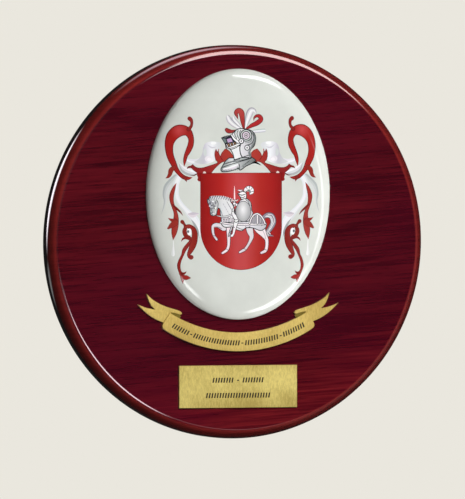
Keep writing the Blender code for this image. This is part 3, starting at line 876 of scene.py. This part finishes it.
def rider(art):
    """A knight with a raised sword and a round shield; the helmet hides the face."""
    silver = (248, 244, 246)
    dark = (66, 50, 60)
    grey = (132, 134, 138)
    art.rimmed([(2.2, 30.4, 1.4), (2.9, 32.7, 2.6), (5, 33.8, 3.1), (6.8, 32.9, 3.2), (7.2, 31.1, 2.6),
        (5.8, 30, 1.2)], silver, 0.34, dark)
    art.shaded([(4, 31.9, 0.8), (5.2, 32.4, 1.5), (6, 31.2, 1.3)], (156, 166, 162))
    for points in (((3.2, 34.4), (4.1, 33)), ((5.5, 35.1), (5.4, 33.5)), ((7.7, 34.2), (6.4, 32.8)),
            ((8.4, 31.7), (6.8, 31.6)), ((4.4, 32.2), (5.6, 31.9), (5.9, 30.9)),
            ((2.8, 32), (3.8, 31.4))):
        art.line(*points, width=0.4, colour=(84, 92, 92))
    art.rimmed([(1.6, 31, 2), (-0.6, 32.2, 1.6), (-2.6, 32.4, 0.4)], silver, 0.34, dark)
    art.rimmed([(0.2, 31.8, 1), (0.6, 33.2, 0.3)], silver, 0.25, dark)
    art.inked(closed([(-2.4, 30.2), (0.6, 31.6), (3, 30.8), (3.5, 28.4), (2.6, 26.2)],
        [(0.2, 25.8), (-0.4, 27.6)], [(-1.2, 28.8)]), silver, 0.5)
    for width, *points in (
            (0.55, (-1.6, 29.8), (0.6, 29.3), (2.6, 29.9)),
            (0.4, (-0.6, 28.2), (1.2, 27.8), (2.6, 28.6)),
            (0.35, (0.2, 27), (1.4, 26.6), (2.4, 27.2))):
        art.line(*points, width=width)
    torso = closed([(-0.6, 26), (2, 27), (4.6, 26.6), (6.6, 23.8), (7, 19.8), (7.8, 17.6)],
        [(5, 12.8), (-3, 12.8)], [(-3.6, 19), (-2.8, 23)])
    art.inked(torso, across((-3, (232, 228, 232)), (3, (242, 240, 242)), (7, (206, 204, 208))), 0.5)
    art.line((3, 26.4), (4.8, 25), (5.6, 22.6), width=0.45)
    art.line((4.4, 26.4), (6.2, 24.6), (6.4, 22.2), width=0.4, colour=grey)
    art.rimmed([(-1.6, 22.6, 1.8), (-3.4, 23.4, 2), (-4.6, 24.6, 2)], silver, 0.36, dark)
    blade = [(-4.5, 35.4, 0.2), (-4.5, 33, 0.9), (-4.45, 26.8, 1.3)]
    art.rimmed(blade, across((-5, (252, 206, 206)), (-4, (255, 240, 240))), 0.18, (186, 70, 76))
    art.rimmed([(-7, 26.5, 0.9), (-5.6, 25.8, 1.1), (-4.4, 26, 1.4), (-3.2, 25.8, 1.1),
        (-2, 26.5, 0.9)], (248, 230, 228), 0.28, (96, 40, 46))
    art.rimmed([(-4.5, 25.8, 1), (-4.6, 22.2, 1)], silver, 0.28, dark)
    art.spot(-4.6, 24, 1.3, 1.1, dark)
    art.spot(-4.6, 24, 0.9, 0.7, silver)
    art.shaded([(-3.4, 20.4, 1.6), (-2.8, 17.4, 2), (-1.8, 14.2, 1.6)], (96, 98, 102))
    art.rimmed([(-5.2, 20.8, 1.2), (-5.4, 17.6, 2.2), (-3.2, 14.2, 3.4), (-3.8, 10.8, 2.8),
        (-4.6, 7.4, 2.2), (-5.2, 4.8, 1.9), (-6.2, 3.6, 2.2)], (248, 246, 248), 0.38, dark)
    for points in (((-5.4, 14.8), (-3.6, 13.6), (-1.8, 14.4)), ((-5, 13.2), (-3.4, 12), (-1.6, 13.4)),
            ((-5.6, 9.2), (-4.2, 8.8)), ((-6.4, 18.6), (-5.2, 19.2))):
        art.line(*points, width=0.38)
    art.rimmed([(-6.4, 8.8, 1.6), (-7.4, 5.8, 1.6), (-8.2, 3.4, 1.1)], (198, 198, 202), 0.38, dark)
    art.line((-6, 7.4), (-8.6, 4.6), width=0.4, colour=(84, 84, 90))
    art.spot(1.4, 19, 5.2, 6.7, (84, 80, 84))
    art.spot(1.4, 19, 4.8, 6.3, around((1.2, 20.2), (4.6, 8.4), (252, 250, 251), (170, 170, 172)))


def crest():
    art = Drawing()
    art.both_sides(white_mantling)
    art.both_sides(red_mantling)
    for draw in (plumes, helmet, shield, horse, rider):
        draw(art)
    return art.shapes


# Medallion

def oval_ring(margin, centre_z=OVAL_CENTRE_Z):
    return ellipse(0, centre_z, OVAL_HALF_WIDTH - margin, OVAL_HALF_HEIGHT - margin, OVAL_SIDES)


def oval_height(x, z):
    """Height of the glaze over the medallion's back at points of the oval, measured from its centre."""
    low = np.zeros_like(x)
    high = np.full_like(x, SHOULDER_WIDTH)
    for _ in range(40):
        middle = (low + high) / 2
        outside = (x / (OVAL_HALF_WIDTH - middle)) ** 2 + (z / (OVAL_HALF_HEIGHT - middle)) ** 2 > 1
        low, high = np.where(outside, low, middle), np.where(outside, middle, high)
    cosine = 1 - low / SHOULDER_WIDTH
    shoulder = SHOULDER_RISE * np.sqrt(1 - cosine ** 2)
    size = np.hypot(x / (OVAL_HALF_WIDTH - low), z / (OVAL_HALF_HEIGHT - low))
    half_width = (OVAL_HALF_WIDTH - low) * size
    return OVAL_WALL + shoulder + OVAL_CROWN * (1 - (half_width / OVAL_HALF_WIDTH) ** 2)


def oval_normals(x, z):
    step = 0.02
    slope_x = (oval_height(x + step, z) - oval_height(x - step, z)) / (2 * step)
    slope_z = (oval_height(x, z + step) - oval_height(x, z - step)) / (2 * step)
    normals = np.stack([-slope_x, -np.ones_like(x), -slope_z], 1)
    return normals / np.linalg.norm(normals, axis=1)[:, None]


def wound_by(points, outline):
    """Which points a closed outline winds round."""
    ax, az = outline.T
    bx, bz = np.roll(outline, -1, 0).T
    px, pz = points[:, :1], points[:, 1:]
    side = (bx - ax) * (pz - az) - (px - ax) * (bz - az)
    up = (az <= pz) & (bz > pz) & (side > 0)
    down = (az > pz) & (bz <= pz) & (side < 0)
    return up.sum(1) != down.sum(1)


def print_points():
    """An even grid of points inside the printed part of the oval."""
    points = []
    rows = int(OVAL_HALF_HEIGHT / (PRINT_GRID * PRINT_ROW_STEP)) + 1
    columns = int(OVAL_HALF_WIDTH / PRINT_GRID) + 1
    margin = PRINT_INSET + 0.8 * PRINT_GRID
    for j in range(-rows, rows + 1):
        for i in range(-columns, columns + 1):
            x = (i + 0.5 * (j % 2)) * PRINT_GRID
            z = j * PRINT_GRID * PRINT_ROW_STEP
            if (x / (OVAL_HALF_WIDTH - margin)) ** 2 + (z / (OVAL_HALF_HEIGHT - margin)) ** 2 < 1:
                points.append((x, z + OVAL_CENTRE_Z - PRINT_LIFT))
    return points


def triangulate(outlines, ring):
    """Triangles that keep every outline's edges; the first vertices are the ring's."""
    points = [*ring, *print_points()]
    edges = []
    for outline in outlines:
        first = len(points)
        points += [tuple(p) for p in outline]
        edges += [(first + i, first + (i + 1) % len(outline)) for i in range(len(outline))]
    found = delaunay_2d_cdt([Vector(p) for p in points], edges, [], 0, 1e-4)
    flat_points, _, faces, origins, _, _ = found
    place_of = {source: i for i, sources in enumerate(origins) for source in sources}
    ring_places = [place_of[i] for i in range(len(ring))]
    return np.array([tuple(p) for p in flat_points]), faces, ring_places


def paint_of_faces(points, faces, shapes):
    """The paint of each face: that of the last shape that holds the face's middle."""
    middles = points[np.array(faces)].mean(1)
    paints = [WHITE] * len(faces)
    for outline, paint in shapes:
        near = ((middles >= outline.min(0)) & (middles <= outline.max(0))).all(1)
        picked = np.flatnonzero(near)
        for index in picked[wound_by(middles[picked], outline)]:
            paints[index] = paint
    return paints


def make_medallion():
    shapes = crest()
    back_y = MEDALLION_HIGH.y
    centre_z = OVAL_CENTRE_Z - PRINT_LIFT
    ring = oval_ring(PRINT_INSET, centre_z)
    outlines = [outline for outline, _ in shapes]
    points, faces, ring_places = triangulate(outlines, [tuple(p) for p in ring])
    heights = oval_height(points[:, 0], points[:, 1] - centre_z)
    bm = bmesh.new()
    print_layer = bm.loops.layers.float_color.new("print")
    verts = [bm.verts.new((x, back_y - h, z + PRINT_LIFT)) for (x, z), h in zip(points, heights)]
    for corners, paint in zip(faces, paint_of_faces(points, faces, shapes)):
        face = bm.faces.new([verts[i] for i in corners])
        for loop in face.loops:
            loop[print_layer] = rgba(paint_at(paint, loop.vert.co.x, loop.vert.co.z - PRINT_LIFT))
    printed = len(verts)

    rings = [at_depth(oval_ring(0), back_y)]
    last_turn = math.acos(1 - PRINT_INSET / SHOULDER_WIDTH)
    steps = 14
    for i in range(steps):
        margin = SHOULDER_WIDTH * (1 - math.cos(last_turn * i / steps))
        height = OVAL_WALL + SHOULDER_RISE * math.sin(last_turn * i / steps)
        crown = OVAL_CROWN * (1 - ((OVAL_HALF_WIDTH - margin) / OVAL_HALF_WIDTH) ** 2)
        rings.append(at_depth(oval_ring(margin), back_y - height - crown))
    first_side = len(bm.faces)
    loops = loft(bm, rings, cap_front=False)
    joint = [verts[i] for i in ring_places]
    for i in range(OVAL_SIDES):
        j = (i + 1) % OVAL_SIDES
        bm.faces.new((loops[-1][i], loops[-1][j], joint[j], joint[i]))
    bm.faces.ensure_lookup_table()
    for face in bm.faces[first_side:]:
        for loop in face.loops:
            loop[print_layer] = rgba(WHITE)
    medallion = mesh_object("glazed_medallion", bm)
    smooth(medallion, 60)
    mesh = medallion.data
    exact = oval_normals(points[:, 0], points[:, 1] - centre_z)
    normals = [exact[loop.vertex_index] if loop.vertex_index < printed else corner.vector
               for loop, corner in zip(mesh.loops, mesh.corner_normals)]
    mesh.normals_split_custom_set([tuple(n) for n in normals])
    mesh.materials.append(printed_glaze())
    return medallion


# Engraved marks: short strokes in rows, which spell nothing

def marks_of(words, gap):
    """Outlines of a row of leaning strokes, in (along, up) from the middle of its base line.

    Words are stroke counts; a level stroke lies between one word and the next.
    """
    marks = []
    along = 0.0
    for number, count in enumerate(words):
        if number:
            middle = along + (gap - MARK_PITCH + MARK_WIDTH + MARK_LEAN) / 2
            left, right = middle - DASH_HALF_LENGTH, middle + DASH_HALF_LENGTH
            marks.append([(left, DASH_LOW), (right, DASH_LOW), (right, DASH_HIGH), (left, DASH_HIGH)])
            along += gap
        for _ in range(count):
            foot_end = along + MARK_WIDTH
            marks.append([(along, 0), (foot_end, 0), (foot_end + MARK_LEAN, MARK_HEIGHT),
                          (along + MARK_LEAN, MARK_HEIGHT)])
            along += MARK_PITCH
    middle = along / 2
    return [[(u - middle, v) for u, v in mark] for mark in marks]


def on_line(marks, base_z):
    return [[(u, base_z + v) for u, v in mark] for mark in marks]


def on_arc(marks, base_z, radius):
    """Marks on an arc that hangs from the upright axis, its lowest point at base_z."""
    def bent(u, v):
        reach = radius - v
        return (reach * math.sin(u / radius), base_z + radius - reach * math.cos(u / radius))
    return [[bent(u, v) for u, v in mark] for mark in marks]


def engrave(obj, marks, y_front):
    """Cuts the marks into the front; their walls and floors get the second material."""
    bm = bmesh.new()
    for mark in marks:
        loft(bm, [at_depth(counterclockwise(mark), y) for y in (y_front + MARK_DEPTH, y_front - 1)])
    for face in bm.faces:
        face.material_index = 1
    cutter = mesh_object("marks", bm)
    for material in obj.data.materials:
        cutter.data.materials.append(material)
    apply_booleans(obj, [cutter], "DIFFERENCE")


# Scroll

def arc_point(radius, lowest_z, angle):
    return (radius * math.sin(angle), lowest_z + radius * (1 - math.cos(angle)))


def rounded(before, corner, after, radius, steps=8):
    c = Vector(corner)
    start = c + (Vector(before) - c).normalized() * radius
    end = c + (Vector(after) - c).normalized() * radius
    ts = [i / steps for i in range(steps + 1)]
    return [tuple(start * (1 - t) ** 2 + c * 2 * t * (1 - t) + end * t * t) for t in ts]


def band_outline(steps=64):
    def arc(radius, lowest_z, half_angle):
        return [arc_point(radius, lowest_z, half_angle * (2 * i / steps - 1)) for i in range(steps + 1)]

    lower = arc(BAND_BOTTOM_ARC, BAND_BOTTOM, BAND_BOTTOM_HALF_ANGLE)
    upper = arc(BAND_TOP_ARC, BAND_TOP, BAND_TOP_HALF_ANGLE)
    left = rounded(upper[0], lower[0], lower[4], BAND_CORNER)
    right = [(-x, z) for x, z in reversed(left)]
    return left + lower[3:-3] + right + upper[::-1]


def tail_outline():
    return closed(
        [(-37.4, -45.2), (-38.4, -43.7), (-42.2, -42.4), (-47.8, -40.7), (-52.9, -38.5),
         (-57.4, -35.7)],
        [(-60.9, -32.4), (-59.6, -36.5), (-57.8, -40.0)],
        [(-55.2, -42.4), (-59.1, -41.7), (-62.8, -40.7)],
        [(-66.9, -39.0), (-63.3, -42.6), (-59.1, -46.0), (-54.4, -48.8)],
        [(-49.0, -51.0)], [(-46.8, -50.6)], [(-44.2, -46.8)],
        [(-44.9, -44.3), (-41.5, -44.9), (-38.6, -45.8)], spacing=1.2)


def fold_outline():
    return [(-44.6, -43.6), (-38.9, -45.3), (-38.0, -46.9), (-39.3, -48.9), (-41.5, -51.0),
            (-46.0, -48.5)]


def make_scroll():
    back_y = SCROLL_HIGH.y
    metal = brass("scroll brass", (238, 211, 124), (200, 170, 90))
    scroll = plate("brass_scroll", band_outline(), back_y, back_y - BAND_HEIGHT)
    layers = []
    layer_shapes = (("tail", tail_outline(), TAIL_HEIGHT), ("fold", fold_outline(), FOLD_HEIGHT))
    for name, left, height in layer_shapes:
        for side, outline in (("left", left), ("right", mirrored(left))):
            layers.append(plate(f"{name}_{side}", outline, back_y, back_y - height))
    apply_booleans(scroll, layers, "UNION")
    scroll.data.materials.clear()
    for material in (metal, engraving_fill(), painted_fold_shade()):
        scroll.data.materials.append(material)
    # Faces at the fold's depth take the painted shade of the ribbon's inside.
    fold_y = (back_y - FOLD_HEIGHT) * MM
    for face in scroll.data.polygons:
        if abs(face.center.y - fold_y) < 0.02 * MM:
            face.material_index = 2
    marks = on_arc(marks_of([7, 18, 13, 9], 3.0), SCROLL_ROW_Z, SCROLL_ROW_ARC)
    engrave(scroll, marks, back_y - BAND_HEIGHT)
    smooth(scroll)
    return scroll


def make_nameplate():
    low, high = PLATE_LOW, PLATE_HIGH
    # The paler patch on the plate is a painted highlight.
    metal = brass("nameplate brass", (238, 218, 130), (184, 162, 86), ((16, -88), (62, 17)))
    outline = [(low.x, low.z), (high.x, low.z), (high.x, high.z), (low.x, high.z)]
    nameplate = plate("brass_nameplate", outline, high.y, low.y, PLATE_EDGE)
    for material in (metal, engraving_fill()):
        nameplate.data.materials.append(material)
    marks = []
    for words, gap, rise in (([8, 8], 5.6, 2.5), ([24], 0, -7.2)):
        marks += on_line(marks_of(words, gap), (low.z + high.z) / 2 + rise)
    engrave(nameplate, marks, low.y)
    smooth(nameplate)
    return nameplate


# Camera, light and surroundings

def direction(azimuth, elevation):
    """The unit vector from the plaque; azimuth 0 is straight in front and grows to the right."""
    return Vector((math.sin(azimuth) * math.cos(elevation), -math.cos(azimuth) * math.cos(elevation),
                   math.sin(elevation)))


def make_camera():
    distance = LENS / SENSOR * PHOTO_SCALE * IMAGE_HEIGHT * MM
    camera = bpy.data.objects.new("camera", bpy.data.cameras.new("camera"))
    target = Vector((0, BOARD_FACE_Y * MM / 2, 0))
    camera.location = target + direction(CAMERA_AZIMUTH, CAMERA_ELEVATION) * distance
    camera.rotation_euler = (target - camera.location).to_track_quat("-Z", "Y").to_euler()
    camera.data.lens = LENS
    camera.data.sensor_width = SENSOR
    camera.data.shift_x = (IMAGE_WIDTH / 2 - PHOTO_CENTRE[0]) / IMAGE_HEIGHT
    camera.data.shift_y = -(IMAGE_HEIGHT / 2 - PHOTO_CENTRE[1]) / IMAGE_HEIGHT
    camera.data.clip_end = 100
    bpy.context.scene.collection.objects.link(camera)
    bpy.context.scene.camera = camera


def light_only(light, pieces):
    group = bpy.data.collections.new(f"{light.name} receivers")
    for piece in pieces:
        group.objects.link(piece)
    light.light_linking.receiver_collection = group


def softbox(name, place, size, radiance, lights, shows_in, roll=0, soft=0.5, tint=(1, 1, 1)):
    """A soft oval light that faces the plaque.

    Its place (azimuth, elevation), its size and its roll are in degrees, as the plaque sees them, and
    its outer part, by the soft share, fades out. It lights the listed pieces, either in their "diffuse"
    colour or in their "glossy" reflections.
    """
    distance = 3
    light = bpy.data.lights.new(name, "AREA")
    light.shape = "RECTANGLE"
    light.size, light.size_y = (2 * distance * math.tan(math.radians(angle / 2)) for angle in size)
    light.energy = radiance * math.pi * light.size * light.size_y
    light.color = tint
    light.use_nodes = True
    nodes, links = light.node_tree.nodes, light.node_tree.links
    from_middle = nodes.new("ShaderNodeVectorMath")
    from_middle.operation = "DISTANCE"
    from_middle.inputs[1].default_value = (0.5, 0.5, 0)
    links.new(nodes.new("ShaderNodeNewGeometry").outputs["Parametric"], from_middle.inputs[0])
    fade = nodes.new("ShaderNodeMapRange")
    fade.interpolation_type = "SMOOTHSTEP"
    for key, value in enumerate((0.5 - soft / 2, 0.5, 1, 0), 1):
        fade.inputs[key].default_value = value
    links.new(from_middle.outputs["Value"], fade.inputs[0])
    links.new(fade.outputs[0], nodes["Emission"].inputs["Strength"])
    obj = bpy.data.objects.new(name, light)
    obj.location = direction(*map(math.radians, place)) * distance
    facing = (-obj.location).to_track_quat("-Z", "Y")
    obj.rotation_euler = (facing @ Quaternion((0, 0, 1), math.radians(roll))).to_euler()
    obj.visible_camera = False
    obj.visible_diffuse = shows_in == "diffuse"
    obj.visible_glossy = shows_in == "glossy"
    bpy.context.scene.collection.objects.link(obj)
    light_only(obj, lights)


def make_lights(board, medallion, scroll, nameplate):
    brasses = [scroll, nameplate]
    matt = [board, scroll, nameplate]
    softbox("key", (15, 28), (56, 56), 7.3, matt, "diffuse")
    softbox("fill", (-20, 8), (60, 60), 0.35, matt, "diffuse")
    softbox("low fill", (0, -48), (56, 50), 0.9, matt, "diffuse")
    softbox("back light", (165, -5), (56, 56), 9, matt, "diffuse")
    softbox("window", (33, 43), (50, 56), 9.5, [board], "glossy", soft=0.3, tint=(1, 0.8, 0.78))
    softbox("window end", (10, 26), (18, 14), 14, [board], "glossy", soft=0.9, tint=(1, 0.75, 0.78))
    softbox("low window", (-3.5, -22.5), (24, 36), 13, [board], "glossy", tint=(1, 0.75, 0.82))
    softbox("low window end", (-21, -12), (16, 16), 1.3, [board], "glossy", tint=(1, 0.75, 0.82))
    softbox("low strip", (16, -21), (32, 12), 2.4, [board], "glossy", soft=0.9, tint=(1, 0.6, 0.6))
    softbox("left rim", (-134, 16), (34, 44), 10, [board], "glossy", tint=(1, 0.9, 0.97))
    softbox("left low rim", (-140, -12), (44, 14), 1, [board], "glossy", soft=0.7)
    softbox("top rim", (-178, 68), (56, 40), 4.5, [board], "glossy", soft=0.9, tint=(1, 0.72, 0.82))
    softbox("right card", (60, -25), (70, 80), 0.16, [board], "glossy", soft=0.8)
    softbox("left card", (-20, 15), (50, 60), 0.12, [board], "glossy", soft=0.8)
    softbox("glaze key", (38, 4), (70, 70), 5.4, [medallion], "diffuse")
    softbox("glaze left fill", (-76, 0), (50, 100), 0.6, [medallion], "diffuse", soft=0.8)
    softbox("glaze top fill", (18, 72), (100, 56), 0.9, [medallion], "diffuse", soft=0.8)
    softbox("glaze low fill", (12, -74), (110, 52), 2.1, [medallion], "diffuse", soft=0.8)
    softbox("glaze upper right", (38, 37), (38, 15), 11, [medallion], "glossy")
    softbox("glaze top dot", (21, 42), (7, 6), 16, [medallion], "glossy")
    softbox("glaze lower right", (46, -30.5), (44, 21), 8, [medallion], "glossy", roll=35)
    softbox("glaze side", (64, 0), (34, 64), 0.4, [medallion], "glossy", tint=(1, 0.95, 0.96))
    softbox("glaze right", (53, -5), (8, 40), 4.4, [medallion], "glossy", roll=36)
    softbox("glaze low left", (-9, -28), (14, 17), 6, [medallion], "glossy")
    softbox("brass card", (18, 0), (120, 110), 0.88, brasses, "glossy")


def make_world():
    """Pale to the camera and dim to the plaque."""
    world = bpy.data.worlds.new("studio")
    world.use_nodes = True
    nodes, links = world.node_tree.nodes, world.node_tree.links
    mix = nodes.new("ShaderNodeMix")
    mix.data_type = "RGBA"
    mix.inputs[6].default_value = (0.03, 0.03, 0.03, 1)
    mix.inputs[7].default_value = rgba((234, 231, 222))
    links.new(nodes.new("ShaderNodeLightPath").outputs["Is Camera Ray"], mix.inputs[0])
    links.new(mix.outputs[2], nodes["Background"].inputs["Color"])
    bpy.context.scene.world = world


def make_floor():
    """A pale floor below the plaque, evenly lit; the plaque doesn't reflect it."""
    half = FLOOR_HALF_SIZE
    corners = ((-half, -half), (half, -half), (half, half), (-half, half))
    bm = bmesh.new()
    bm.faces.new([bm.verts.new((x, y, 0)) for x, y in corners])
    mesh = bpy.data.meshes.new("floor")
    bm.to_mesh(mesh)
    bm.free()
    floor = bpy.data.objects.new("floor", mesh)
    floor.location.z = FLOOR_Z
    bpy.context.scene.collection.objects.link(floor)
    mesh.materials.append(floor_paper())
    floor.visible_diffuse = floor.visible_glossy = False
    sun = bpy.data.lights.new("floor light", "SUN")
    sun.energy = math.pi
    from_above = bpy.data.objects.new("floor light", sun)
    bpy.context.scene.collection.objects.link(from_above)
    light_only(from_above, [floor])


def main():
    bpy.context.scene.view_settings.view_transform = "Standard"
    pieces = {}
    for name, make, slot in (
            ("board", make_board, "rosewood_lacquer"), ("medallion", make_medallion, "white_glaze"),
            ("scroll", make_scroll, "scroll_brass"), ("nameplate", make_nameplate, "nameplate_brass")):
        piece = make()
        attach(piece, "root")
        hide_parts(name)
        pieces[name] = piece
    make_camera()
    make_world()
    make_floor()
    make_lights(**pieces)


main()
